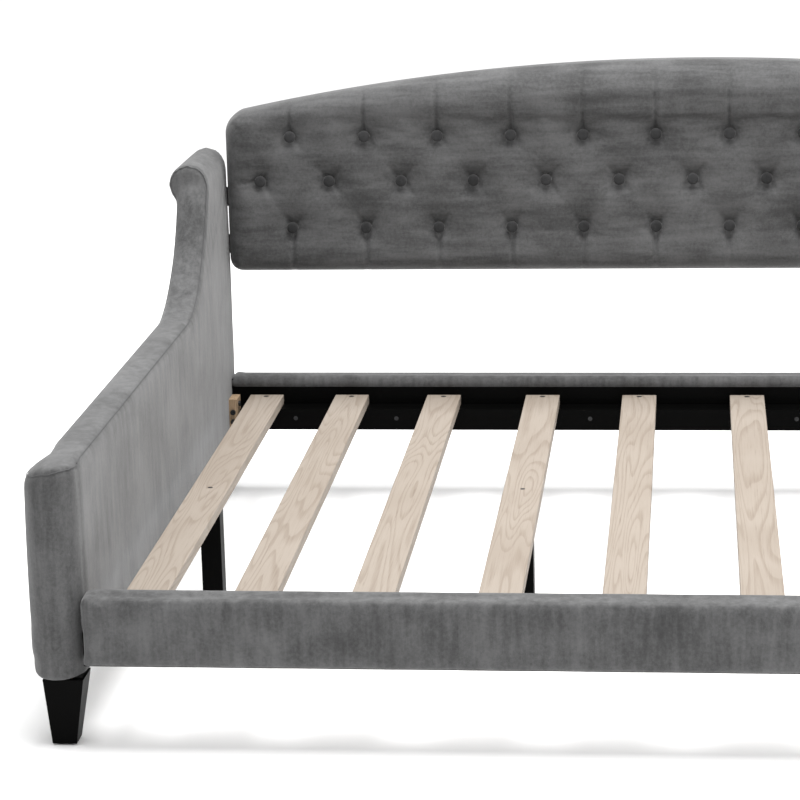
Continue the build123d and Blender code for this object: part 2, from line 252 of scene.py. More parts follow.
@dataclass(frozen=True)
class Velvet:
    """Short brushed pile over foam: pale where it is seen along the pile, mottled by its nap."""

    grey: tuple = (0.067, 0.067, 0.0675)
    cloud_scale: float = 7.0
    streak_scale: float = 60.0
    brushed: tuple = (1.0, 1.0, 0.14)
    mottle_scale: float = 170.0
    pile_scale: float = 900.0

    def build(self, name: str) -> bpy.types.Material:
        """Builds the material.

        Args:
            name: the material's name.

        Returns:
            The material.
        """
        shade = Shade(name)
        clouds = shade.noise(self.cloud_scale, 3.0, 0.55, distortion=0.6)
        streaks = shade.noise(self.streak_scale, 3.0, 0.6, shade.place(self.brushed))
        mottle = shade.noise(self.mottle_scale, 3.0, 0.65)
        pile = shade.noise(self.pile_scale, 2.0, 0.6)
        nap = (clouds - 0.5) * 0.85 + (streaks - 0.5) * 0.75 + (mottle - 0.5) * 0.5 + (pile - 0.5) * 0.4
        dark = tuple(0.52 * c for c in self.grey)
        pale = tuple(1.48 * c for c in self.grey)
        shade.feed("Base Color", shade.mix((nap + 0.5).between(0.1, 0.9), dark, pale))
        shade.feed("Roughness", 0.78 + (mottle - 0.5) * 0.2)
        shade.set(Sheen_Weight=0.17, Sheen_Roughness=0.5, Sheen_Tint=(1.0, 1.0, 1.0, 1.0), Specular_IOR_Level=0.1)
        shade.bump(pile * 0.5 + mottle * 0.5 + streaks * 0.35, 0.0009, 0.7)
        return shade.material


@dataclass(frozen=True)
class SlatWood:
    """Bare pale maple sawn along its grain: cathedral figure, fine pores, here and there a knot."""

    pale: tuple = (0.238, 0.204, 0.170)
    dark: tuple = (0.166, 0.132, 0.102)
    line: tuple = (0.125, 0.095, 0.072)

    def build(self, name: str) -> bpy.types.Material:
        """Builds the material.

        Args:
            name: the material's name.

        Returns:
            The material.
        """
        shade = Shade(name)
        along = shade.place((1.0, 0.07, 1.0))
        warp = shade.noise(9.0, 3.0, 0.55, along)
        fine = shade.place((1.0, 0.022, 1.0))
        figure = shade.noise(16.0, 1.0, 0.4, along, 0.4)
        rings = shade.node("ShaderNodeMath", {"operation": "FRACT"}, {0: figure * 20.0 + warp * 1.6})
        edge = rings.between(0.45, 0.88) - rings.between(0.92, 1.0)
        pores = shade.noise(420.0, 3.0, 0.7, fine)
        patches = shade.noise(4.2, 2.0, 0.5)
        tone = shade.mix(edge * 0.6 + (pores - 0.5) * 1.3, self.pale, self.dark)
        toned = shade.mix(patches.between(0.35, 0.8) * 0.35, tone, self.dark)
        speck = pores.between(0.60, 0.74) * 0.45
        shade.feed("Base Color", shade.mix(speck, toned, self.line))
        shade.feed("Roughness", 0.52 + pores * 0.2)
        shade.set(Specular_IOR_Level=0.35)
        shade.bump(pores * 0.7 + edge * 0.3, 0.00025, 0.6)
        return shade.material


@dataclass(frozen=True)
class PaintedWood:
    """Satin lacquer with a little grain showing through."""

    colour: tuple = (0.0006, 0.0006, 0.0006)
    worn: tuple = (0.0016, 0.0016, 0.0015)
    roughness: float = 0.42
    along: tuple = (1.0, 1.0, 0.12)

    def build(self, name: str) -> bpy.types.Material:
        """Builds the material.

        Args:
            name: the material's name.

        Returns:
            The material.
        """
        shade = Shade(name)
        grain = shade.noise(160.0, 3.0, 0.6, shade.place(self.along))
        clouds = shade.noise(14.0, 2.0)
        shade.feed("Base Color", shade.mix(grain * 0.6 + clouds * 0.4, self.colour, self.worn))
        shade.feed("Roughness", self.roughness + (clouds - 0.5) * 0.16 + (grain - 0.5) * 0.1)
        shade.set(Specular_IOR_Level=0.03)
        shade.bump(grain, 0.0002, 0.5)
        return shade.material


@dataclass(frozen=True)
class RawTimber:
    """Sawn timber left bare where covers hide it."""

    pale: tuple = (0.33, 0.23, 0.14)
    dark: tuple = (0.14, 0.09, 0.05)
    along: tuple = (1.0, 1.0, 0.08)

    def build(self, name: str) -> bpy.types.Material:
        """Builds the material.

        Args:
            name: the material's name.

        Returns:
            The material.
        """
        shade = Shade(name)
        grain = shade.noise(240.0, 4.0, 0.65, shade.place(self.along))
        clouds = shade.noise(18.0, 2.0)
        shade.feed("Base Color", shade.mix(grain.between(0.3, 0.72) * 0.8 + clouds * 0.2, self.pale, self.dark))
        shade.feed("Roughness", 0.7 + grain * 0.2)
        shade.bump(grain, 0.0004, 0.7)
        return shade.material


@dataclass(frozen=True)
class Metal:
    """Plated or powder-coated steel."""

    colour: tuple
    metallic: float
    roughness: float

    def build(self, name: str) -> bpy.types.Material:
        """Builds the material.

        Args:
            name: the material's name.

        Returns:
            The material.
        """
        shade = Shade(name)
        grain = shade.noise(900.0, 2.0)
        stain = shade.noise(60.0, 2.0)
        worn = tuple(0.7 * c for c in self.colour)
        shade.feed("Base Color", shade.mix(stain, self.colour, worn))
        shade.feed("Roughness", self.roughness + (stain - 0.5) * 0.2)
        shade.set(Metallic=self.metallic)
        shade.bump(grain, 0.0001, 0.4)
        return shade.material


@dataclass(frozen=True)
class Plain:
    """Moulded plastic, nonwoven cloth or cord: a fine-grained dull surface."""

    colour: tuple
    roughness: float
    grain_scale: float
    depth: float

    def build(self, name: str) -> bpy.types.Material:
        """Builds the material.

        Args:
            name: the material's name.

        Returns:
            The material.
        """
        shade = Shade(name)
        grain = shade.noise(self.grain_scale, 3.0, 0.6)
        pale = tuple(1.5 * c for c in self.colour)
        shade.feed("Base Color", shade.mix(grain, self.colour, pale))
        shade.feed("Roughness", self.roughness + (grain - 0.5) * 0.2)
        shade.bump(grain, self.depth, 0.6)
        return shade.material


class Finish(Enum):
    """The record's material slots and the finish of each."""

    VELVET = "velvet"
    SLAT_WOOD = "slat_wood"
    BLACK_WOOD = "black_wood"
    FRAME_TIMBER = "frame_timber"
    STEEL = "steel"
    BRACKET_STEEL = "bracket_steel"
    GLIDE_PLASTIC = "glide_plastic"
    DUST_CLOTH = "dust_cloth"
    TWINE = "twine"
    SEAM = "velvet_seam"
    BUTTON = "velvet_button"
    BACK_VELVET = "velvet_back"


RECIPES = {
    Finish.VELVET: Velvet(),
    # The panel's front cover is the arms' velvet with its pile brushed across; its grey, set darker than the arms', is
    # painted shade on the panel's front.
    Finish.BACK_VELVET: Velvet(grey=(0.060, 0.060, 0.0605), brushed=(0.14, 1.0, 1.0)),
    # Button covers are the panel's velvet; their far darker grey is painted shade of the dimples they sit in.
    Finish.BUTTON: Velvet(grey=(0.020, 0.020, 0.0205)),
    Finish.SLAT_WOOD: SlatWood(),
    Finish.BLACK_WOOD: PaintedWood(),
    Finish.FRAME_TIMBER: RawTimber(),
    Finish.STEEL: Metal((0.035, 0.035, 0.036), 0.85, 0.45),
    Finish.BRACKET_STEEL: Metal((0.02, 0.02, 0.021), 0.0, 0.55),
    Finish.GLIDE_PLASTIC: Plain((0.02, 0.02, 0.02), 0.6, 700.0, 0.0001),
    Finish.DUST_CLOTH: Plain((0.012, 0.012, 0.012), 0.9, 1200.0, 0.0003),
    Finish.TWINE: Plain((0.5, 0.47, 0.4), 0.8, 1500.0, 0.0002),
    Finish.SEAM: Plain((0.050, 0.050, 0.051), 0.95, 1500.0, 0.0002),
}


class Palette:
    """Every finish, each built once."""

    def __init__(self) -> None:
        """Builds the materials."""
        self.made = {finish: recipe.build(finish.value) for finish, recipe in RECIPES.items()}

    def dress(self, piece: bpy.types.Object, finish: Finish) -> None:
        """Gives a new piece one finish."""
        piece.data.materials.clear()
        piece.data.materials.append(self.made[finish])

    def dress_cad(self) -> None:
        """Gives every CAD node the finish of its slot."""
        for row in frame["record"]["subparts"]:
            node = frame["nodes"][row["node"]]
            material = self.made[Finish(row["material_slot"])]
            for place in node.material_slots:
                place.material = material


# Modelling ----------------------------------------------------------------------------------------


class Bench:
    """Modelling by operators, one piece at a time."""

    @staticmethod
    def clear() -> None:
        """Leaves edit mode and deselects everything."""
        if bpy.context.object and bpy.context.object.mode != "OBJECT":
            bpy.ops.object.mode_set(mode="OBJECT")
        bpy.ops.object.select_all(action="DESELECT")

    @staticmethod
    def pick(*pieces: bpy.types.Object) -> None:
        """Selects these pieces alone and makes the first one active."""
        Bench.clear()
        for piece in pieces:
            piece.select_set(True)
        bpy.context.view_layer.objects.active = pieces[0]

    @staticmethod
    def named(name: str) -> bpy.types.Object:
        """Names the newly added primitive and puts its place into its mesh."""
        piece = bpy.context.object
        piece.name = name
        piece.data.name = name
        bpy.ops.object.transform_apply(location=True, rotation=True, scale=True)
        return piece

    @staticmethod
    def points(piece: bpy.types.Object) -> np.ndarray:
        """A mesh's points, one row each."""
        flat = np.empty(len(piece.data.vertices) * 3)
        piece.data.vertices.foreach_get("co", flat)
        return flat.reshape(-1, 3)

    @staticmethod
    def normals(piece: bpy.types.Object) -> np.ndarray:
        """A mesh's point normals, one row each."""
        flat = np.empty(len(piece.data.vertices) * 3)
        piece.data.vertices.foreach_get("normal", flat)
        return flat.reshape(-1, 3)

    @staticmethod
    def reshape(piece: bpy.types.Object, points: np.ndarray) -> None:
        """Moves a mesh's points."""
        piece.data.vertices.foreach_set("co", points.ravel())
        piece.data.update()

    @staticmethod
    def slab(name: str, outline: Sequence[Vector], push: Vector) -> bpy.types.Object:
        """Traces a flat outline point by point and pushes it out into a closed slab.

        Args:
            name: the piece's name.
            outline: the corners in order, not closed.
            push: the way and distance that the outline is extruded.

        Returns:
            The slab.
        """
        Bench.clear()
        bpy.ops.mesh.primitive_plane_add(size=0.01, location=outline[0])
        piece = Bench.named(name)
        bpy.ops.object.mode_set(mode="EDIT")
        bpy.ops.mesh.select_mode(type="VERT")
        bpy.ops.mesh.select_all(action="SELECT")
        bpy.ops.mesh.merge(type="CENTER")
        here = outline[0]
        for corner in list(outline[1:]) + [outline[0]]:
            bpy.ops.mesh.extrude_region_move(TRANSFORM_OT_translate={"value": corner - here})
            here = corner
        bpy.ops.mesh.select_all(action="SELECT")
        bpy.ops.mesh.remove_doubles(threshold=1e-5)
        bpy.ops.mesh.edge_face_add()
        bpy.ops.mesh.extrude_region_move(TRANSFORM_OT_translate={"value": push})
        bpy.ops.mesh.select_all(action="SELECT")
        bpy.ops.mesh.normals_make_consistent(inside=False)
        bpy.ops.object.mode_set(mode="OBJECT")
        Bench.expect_closed(piece, len(outline) * 2)
        return piece

    @staticmethod
    def expect_closed(piece: bpy.types.Object, fewest: int) -> None:
        """Stops the script where a shape came out empty or open.

        Args:
            piece: the mesh.
            fewest: the fewest points that it can have.
        """
        shape = bmesh.new()
        shape.from_mesh(piece.data)
        gaps = sum(not edge.is_manifold for edge in shape.edges)
        count = len(shape.verts)
        shape.free()
        if count < fewest or gaps:
            raise RuntimeError(f"{piece.name}: {count} points of {fewest}, {gaps} open edges")

    @staticmethod
    def block(name: str, low: Vector, high: Vector) -> bpy.types.Object:
        """A box between two corners."""
        Bench.clear()
        bpy.ops.mesh.primitive_cube_add(size=1.0, location=(low + high) / 2, scale=high - low)
        return Bench.named(name)

    @staticmethod
    def round_edges(piece: bpy.types.Object, width: float, segments: int,
                    wanted: Callable[[Vector, Vector], bool]) -> None:
        """Rounds chosen edges.

        Args:
            piece: the mesh.
            width: how far the rounding reaches from the edge.
            segments: the steps across it.
            wanted: says of an edge's two ends whether it is rounded.
        """
        Bench.pick(piece)
        bpy.ops.object.mode_set(mode="EDIT")
        bpy.ops.mesh.select_mode(type="EDGE")
        bpy.ops.mesh.select_all(action="DESELECT")
        mesh = bmesh.from_edit_mesh(piece.data)
        for edge in mesh.edges:
            edge.select_set(wanted(edge.verts[0].co, edge.verts[1].co))
        bmesh.update_edit_mesh(piece.data)
        bpy.ops.mesh.bevel(offset=width, segments=segments, affect="EDGES", clamp_overlap=True)
        bpy.ops.object.mode_set(mode="OBJECT")

    @staticmethod
    def apply(piece: bpy.types.Object, kind: str, **settings: object) -> None:
        """Adds one modifier and applies it.

        Args:
            piece: the mesh.
            kind: the modifier's type.
            settings: its attributes.
        """
        Bench.pick(piece)
        modifier = piece.modifiers.new(kind.lower(), kind)
        for key, value in settings.items():
            setattr(modifier, key, value)
        bpy.ops.object.modifier_apply(modifier=modifier.name)

    @staticmethod
    def fuse(pieces: Sequence[bpy.types.Object], voxel: float) -> bpy.types.Object:
        """Joins overlapping closed pieces under one even skin.

        Args:
            pieces: the closed pieces; the first gives its name.
            voxel: the skin's mesh size.

        Returns:
            The one piece.
        """
        Bench.pick(*pieces)
        if len(pieces) > 1:
            bpy.ops.object.join()
        Bench.apply(pieces[0], "REMESH", mode="VOXEL", voxel_size=voxel, use_smooth_shade=True)
        Bench.expect_closed(pieces[0], 1000)
        return pieces[0]

    @staticmethod
    def fill(piece: bpy.types.Object, cap: float, held: Callable[[np.ndarray], np.ndarray],
             pressure: float = 4.0, last_frame: int = 20) -> None:
        """Swells a closed cover by cloth simulation, as its foam does, and keeps the result.

        Args:
            piece: the closed mesh.
            cap: the furthest that a point may move.
            held: from all points, how firmly each one stays, from 0 to 1.
            pressure: the foam's push.
            last_frame: how long it swells.
        """
        before = Bench.points(piece)
        weights = held(before)
        group = piece.vertex_groups.new(name="held")
        for index, weight in enumerate(weights):
            if weight > 0.0:
                group.add([index], float(weight), "REPLACE")
        Bench.pick(piece)
        cloth = piece.modifiers.new("cover", "CLOTH")
        cloth.settings.use_pressure = True
        cloth.settings.uniform_pressure_force = pressure
        cloth.settings.effector_weights.gravity = 0.0
        cloth.settings.quality = 4
        cloth.settings.vertex_group_mass = "held"
        cloth.point_cache.frame_start = 1
        cloth.point_cache.frame_end = last_frame
        for number in range(1, last_frame + 1):
            bpy.context.scene.frame_set(number)
        bpy.ops.object.modifier_apply(modifier=cloth.name)
        bpy.context.scene.frame_set(1)
        moved = (Bench.points(piece) - before) * (1.0 - weights)[:, None]
        reach = np.linalg.norm(moved, axis=1, keepdims=True)
        Bench.reshape(piece, before + moved * np.minimum(1.0, cap / np.maximum(reach, 1e-9)))
        piece.vertex_groups.clear()

    @staticmethod
    def crease(piece: bpy.types.Object, line: Sequence[Vector], depth: float, width: float) -> None:
        """Presses a valley into a mesh along a line of closely spaced points.

        Args:
            piece: the mesh.
            line: the seam's points.
            depth: how deep it is pressed.
            width: how far to each side it reaches.
        """
        tree = KDTree(len(line))
        for index, point in enumerate(line):
            tree.insert(point, index)
        tree.balance()
        points = Bench.points(piece)
        away = np.array([tree.find(point)[2] for point in points])
        press = depth * (1.0 - smooth_step(0.0, width, away))
        Bench.reshape(piece, points - Bench.normals(piece) * press[:, None])

    @staticmethod
    def tube(name: str, line: Sequence[Vector], radius: float, sides: int = 3) -> bpy.types.Object:
        """A closed round cord along a line.

        Args:
            name: the piece's name.
            line: its centre points.
            radius: half its thickness.
            sides: the curve's bevel resolution.

        Returns:
            The cord as a mesh.
        """
        Bench.clear()
        curve = bpy.data.curves.new(name, "CURVE")
        curve.dimensions = "3D"
        curve.bevel_depth = radius
        curve.bevel_resolution = sides
        curve.use_fill_caps = True
        spline = curve.splines.new("POLY")
        spline.points.add(len(line) - 1)
        for place, point in zip(spline.points, line):
            place.co = (*point, 1.0)
        piece = bpy.data.objects.new(name, curve)
        bpy.context.scene.collection.objects.link(piece)
        Bench.pick(piece)
        bpy.ops.object.convert(target="MESH")
        return bpy.context.object

    @staticmethod
    def mirrored(piece: bpy.types.Object, name: str) -> bpy.types.Object:
        """A copy with its own mesh at the other end of the length."""
        Bench.pick(piece)
        bpy.ops.object.duplicate(linked=False)
        copy = bpy.context.object
        copy.name = name
        copy.data.name = name
        points = Bench.points(copy)
        points[:, 0] *= -1.0
        Bench.reshape(copy, points)
        bpy.ops.object.mode_set(mode="EDIT")
        bpy.ops.mesh.select_all(action="SELECT")
        bpy.ops.mesh.flip_normals()
        bpy.ops.object.mode_set(mode="OBJECT")
        return copy

    @staticmethod
    def soften(piece: bpy.types.Object) -> None:
        """Shades a finished piece smooth."""
        Bench.pick(piece)
        bpy.ops.object.shade_smooth()


def resampled(corners: Sequence[Vector], step: float) -> list[Vector]:
    """Evenly spaced points along a chain of corners.

    Args:
        corners: the chain.
        step: the spacing wanted.

    Returns:
        The points, both ends included.
    """
    spots = np.array([tuple(c) for c in corners])
    reach = np.concatenate([[0.0], np.cumsum(np.linalg.norm(np.diff(spots, axis=0), axis=1))])
    count = max(2, int(reach[-1] / step))
    stations = np.linspace(0.0, reach[-1], count)
    return [Vector(row) for row in np.stack([np.interp(stations, reach, spots[:, k]) for k in range(3)], 1)]


@dataclass
class Arms:
    """Both scroll arms: one skin over nose, panel and roll, its band bounded by seams."""

    palette: Palette
    top: float = 0.467
    panel_thickness: float = 0.070
    nose_width: float = 0.092
    nose_tip: float = 0.047
    nose_round: float = 0.057
    nose_end: float = 0.135
    nose_top_drop: float = 0.004
    sweep_start: float = 1.028
    sweep_reach: float = 0.105
    sweep_pull: float = 0.149
    sweep_turn: float = 1.175
    roll_radius: float = 0.042
    swell: float = 0.003
    voxel: float = 0.006
    seam_radius: float = 0.0007
    inner: float = field(init=False)
    bottom: float = field(init=False)
    roll_front: float = field(init=False)
    roll_z: float = field(init=False)
    rear: float = field(init=False)

    def __post_init__(self) -> None:
        """Takes the places that the frame sets."""
        low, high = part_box("right_arm_inner_cover")
        self.inner = low.x
        self.bottom = low.z
        self.roll_z = high.z
        self.roll_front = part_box("right_arm_scroll")[0].y - FRONT
        self.rear = DEPTH - 0.0035

    def sweep(self, steps: int = 18) -> list[tuple]:
        """Setback and height along the rise from the straight top to the roll."""
        start = (self.sweep_start, self.top)
        end = (self.roll_front - 0.002, self.roll_z)
        first = (start[0] + self.sweep_reach, start[1])
        last = (end[0] - self.sweep_pull * math.cos(self.sweep_turn),
                end[1] - self.sweep_pull * math.sin(self.sweep_turn))
        path = []
        for t in np.linspace(0.0, 1.0, steps):
            weights = ((1 - t) ** 3, 3 * (1 - t) ** 2 * t, 3 * (1 - t) * t * t, t ** 3)
            path.append(tuple(sum(w * p[k] for w, p in zip(weights, (start, first, last, end))) for k in (0, 1)))
        return path

    def outer_x(self, setback: np.ndarray) -> np.ndarray:
        """The outer face's X: an ellipse round the front, the flare, then the panel."""
        reach = self.nose_width - self.nose_tip
        bow = np.sqrt(np.clip(1 - (np.clip(self.nose_round - setback, 0, None) / self.nose_round) ** 2, 0, 1))
        flare = self.inner + self.nose_tip + reach * bow
        narrow = smooth_step(self.nose_round + 0.01, self.nose_end, setback)
        return flare - (self.nose_width - self.panel_thickness) * narrow

    def panel_block(self) -> bpy.types.Object:
        """The panel behind the nose, up to the middle of the roll."""
        inner = self.inner + self.swell * 0.6
        profile = [(self.rear, self.roll_z), (self.rear, self.bottom), (0.06, self.bottom),
                   (0.06, self.top)] + self.sweep()
        outline = [Vector((inner, y_at(s), z)) for s, z in profile]
        panel = Bench.slab("right_arm_upholstery", outline,
                           Vector((self.panel_thickness - self.swell * 1.2, 0.0, 0.0)))
        outside = self.inner + self.panel_thickness * 0.8

        def crowned(a: Vector, b: Vector) -> bool:
            """The outer edge along the straight top and the sweep."""
            high = min(a.z, b.z) > self.top - 0.001
            return high and min(a.x, b.x) > outside and max(a.y, b.y) < y_at(self.rear - 0.01)

        Bench.round_edges(panel, 0.015, 4, crowned)
        return panel

    def nose_block(self) -> bpy.types.Object:
        """The padded nose: round in front, flared outside, joined to the panel behind."""
        tip = self.inner + self.nose_tip
        outline = [Vector((self.inner + self.swell * 0.6, y_at(0.16), self.bottom))]
        for turn in np.linspace(0.0, math.pi / 2, 12):
            outline.append(Vector((tip - (self.nose_tip - 0.002) * math.cos(turn),
                                   y_at(self.nose_round + 0.002 - self.nose_round * math.sin(turn)), self.bottom)))
        for turn in np.linspace(0.1, math.pi / 2, 11):
            outline.append(Vector((tip + (self.nose_width - self.nose_tip - 0.002) * math.sin(turn),
                                   y_at(self.nose_round + 0.002 - self.nose_round * math.cos(turn)), self.bottom)))
        for setback in np.linspace(self.nose_round + 0.02, 0.16, 8):
            outline.append(Vector((float(self.outer_x(np.array(setback))) - 0.002, y_at(setback), self.bottom)))
        nose = Bench.slab("right_arm_nose_block", outline, Vector((0, 0, self.top - self.nose_top_drop - self.bottom)))
        height = self.top - self.nose_top_drop - 0.001
        Bench.round_edges(nose, 0.011, 4, lambda a, b: min(a.z, b.z) > height and max(a.y, b.y) < y_at(0.15))
        Bench.round_edges(nose, 0.011, 3, lambda a, b: max(a.z, b.z) < self.bottom + 1e-4 and max(a.y, b.y) < y_at(0.15))
        return nose

    def roll_block(self) -> bpy.types.Object:
        """The roll at the rear of the arm's top."""
        length = self.rear - self.roll_front
        Bench.clear()
        bpy.ops.mesh.primitive_cylinder_add(
            vertices=48, radius=self.roll_radius - self.swell * 0.5, depth=length,
            location=(self.inner + self.roll_radius + 0.002, y_at(self.roll_front + length / 2), self.roll_z),
            rotation=(math.pi / 2, 0, 0))
        return Bench.named("right_arm_roll_block")

    def droop_outer_edge(self, arm: bpy.types.Object) -> None:
        """Rounds the nose's outer top corner more than the panel's."""
        points = Bench.points(arm)
        setback = points[:, 1] - FRONT
        radius = 0.014 + 0.026 * (1.0 - smooth_step(0.06, 0.17, setback))
        a = points[:, 0] - (self.outer_x(setback) - radius)
        b = points[:, 2] - (self.top - radius)
        inside = (a > 0) & (b > 0) & (setback < 0.9) & (radius > 0.0145)
        shrink = np.where(inside, np.maximum(a, b) / np.maximum(np.hypot(a, b), 1e-9), 1.0)
        points[:, 0] += np.where(inside, a * (shrink - 1), 0)
        points[:, 2] += np.where(inside, b * (shrink - 1), 0)
        Bench.reshape(arm, points)

    def inner_seam(self) -> list[Vector]:
        """The seam between the inner face and the band, from the nose to the roll and round it."""
        x = self.inner + 0.003
        line = [Vector((x, y_at(self.nose_round), self.top - self.nose_top_drop - 0.004)),
                Vector((x, y_at(self.nose_round + 0.05), self.top - 0.003))]
        line += [Vector((x, y_at(s + 0.002), z - 0.003)) for s, z in self.sweep()]
        centre = self.inner + self.roll_radius + 0.002
        face = y_at(self.roll_front)
        reach = self.roll_radius - 0.003
        line += [Vector((centre - reach * math.cos(t), face, self.roll_z + reach * math.sin(t)))
                 for t in np.linspace(0.1, math.pi + 0.9, 30)]
        return line

    def outer_seam(self) -> list[Vector]:
        """The seam between the band and the outer face."""
        x = self.inner + self.panel_thickness
        line = [Vector((x, y_at(s), z - 0.016)) for s, z in [(0.14, self.top)] + self.sweep()[:-1]]
        return line

    def nose_seam(self) -> list[Vector]:
        """The seam across the nose's front edge, where the band ends."""
        tip = self.inner + self.nose_tip
        z = self.top - self.nose_top_drop - 0.005
        line = [Vector((self.inner, y_at(self.nose_round), z))]
        for turn in np.linspace(-math.pi / 2, math.pi / 2, 30):
            half = self.nose_tip if turn < 0 else self.nose_width - self.nose_tip
            drop = 0.012 * max(0.0, math.sin(turn)) ** 3
            line.append(Vector((tip + half * math.sin(turn), y_at(self.nose_round * (1 - math.cos(turn))), z - drop)))
        line.append(Vector((self.inner + self.panel_thickness, y_at(0.14), self.top - 0.016)))
        return line

    def cheek_seam(self) -> list[Vector]:
        """The upright seam where the nose's front strip meets the inner face."""
        x = self.inner + 0.001
        return [Vector((x, y_at(self.nose_round - 0.006), z))
                for z in (self.top - self.nose_top_drop - 0.008, self.bottom + 0.012)]

    def dress(self, piece: bpy.types.Object) -> None:
        """Finishes one arm skin."""
        Bench.soften(piece)
        self.palette.dress(piece, Finish.VELVET)

    def build(self) -> None:
        """Builds the right arm, then its mirror image, with seams."""
        arm = Bench.fuse([self.panel_block(), self.nose_block(), self.roll_block()], self.voxel)
        self.droop_outer_edge(arm)
        Bench.apply(arm, "SMOOTH", factor=0.5, iterations=3)
        inner = self.inner

        def held(points: np.ndarray) -> np.ndarray:
            """The underside, the rear face and what the roll's core carries stay."""
            low = 1.0 - smooth_step(self.bottom, self.bottom + 0.008, points[:, 2])
            rear = smooth_step(y_at(self.rear - 0.01), y_at(self.rear), points[:, 1])
            return np.clip(low + rear, 0.0, 1.0)

        Bench.fill(arm, 0.0025, held)
        Bench.apply(arm, "SMOOTH", factor=0.5, iterations=8)
        lines = {"inner": self.inner_seam(), "outer": self.outer_seam(), "nose": self.nose_seam()}
        skin = BVHTree.FromObject(arm, bpy.context.evaluated_depsgraph_get())
        seams = []
        for where, line in lines.items():
            spots = [skin.find_nearest(point)[0] for point in resampled(line, 0.003)]
            Bench.crease(arm, spots, 0.0013, 0.008)
            seams.append(Bench.tube(f"right_arm_{where}_seam", spots, self.seam_radius))
        cheek = [skin.find_nearest(point)[0] for point in resampled(self.cheek_seam(), 0.003)]
        Bench.crease(arm, cheek, 0.0012, 0.008)
        Bench.pick(*seams)
        bpy.ops.object.join()
        seams[0].name = "right_arm_seams"
        left = Bench.mirrored(arm, "left_arm_upholstery")
        left_seams = Bench.mirrored(seams[0], "left_arm_seams")
        covers = ("inner_cover", "outer_cover", "top_band", "nose", "scroll")
        for side, skin_piece, seam in (("right", arm, seams[0]), ("left", left, left_seams)):
            self.dress(skin_piece)
            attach(skin_piece, "root")
            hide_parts(*(f"{side}_arm_{cover}" for cover in covers))
            self.palette.dress(seam, Finish.SEAM)
            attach(seam, "root")
            log.info("%s arm: %d points", side, len(skin_piece.data.vertices))


@dataclass
class Rails:
    """The padded covers of the front and rear rails."""

    palette: Palette
    voxel: float = 0.005
    face_step: float = 0.004
    lip_drop: float = 0.022
    soft_edge: float = 0.010
    end_wrap: float = 0.0012

    def build_one(self, end: str, inward: float) -> None:
        """One rail's cover, with its lip turned over the inner edge.

        Args:
            end: front or rear.
            inward: 1 where the mattress side is towards +Y, -1 where it is towards -Y.
        """
        low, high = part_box(f"{end}_rail_cover")
        outer, inner = (low.y, high.y) if inward > 0 else (high.y, low.y)
        step = inner - inward * self.face_step
        lip = high.z - self.lip_drop
        gap = 0.0012
        profile = [(outer + inward * gap, low.z + gap), (outer + inward * gap, high.z - gap), (inner, high.z - gap),
                   (inner, lip), (step, lip), (step, low.z + gap)]
        outline = [Vector((low.x - self.end_wrap, y, z)) for y, z in profile]
        length = high.x - low.x + 2 * self.end_wrap
        rail = Bench.slab(f"{end}_rail_upholstery", outline, Vector((length, 0, 0)))

        def outside(a: Vector, b: Vector) -> bool:
            """Edges round the outer face and along the top."""
            on_face = max(abs(a.y - outer), abs(b.y - outer)) < 2 * gap
            on_top = min(a.z, b.z) > high.z - 2 * gap
            return on_face or on_top

        Bench.round_edges(rail, self.soft_edge, 4, outside)
        Bench.fuse([rail], self.voxel)
        Bench.apply(rail, "SMOOTH", factor=0.5, iterations=2)

        def held(points: np.ndarray) -> np.ndarray:
            """The side on the board stays."""
            away = (inner - points[:, 1]) * inward
            return 1.0 - smooth_step(0.004, 0.012, away)

        Bench.fill(rail, 0.003, held)
        Bench.soften(rail)
        self.palette.dress(rail, Finish.VELVET)
        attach(rail, "root")
        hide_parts(f"{end}_rail_cover")
        log.info("%s rail: %d points", end, len(rail.data.vertices))

    def build(self) -> None:
        """Both covers."""
        self.build_one("front", 1.0)
        self.build_one("rear", -1.0)


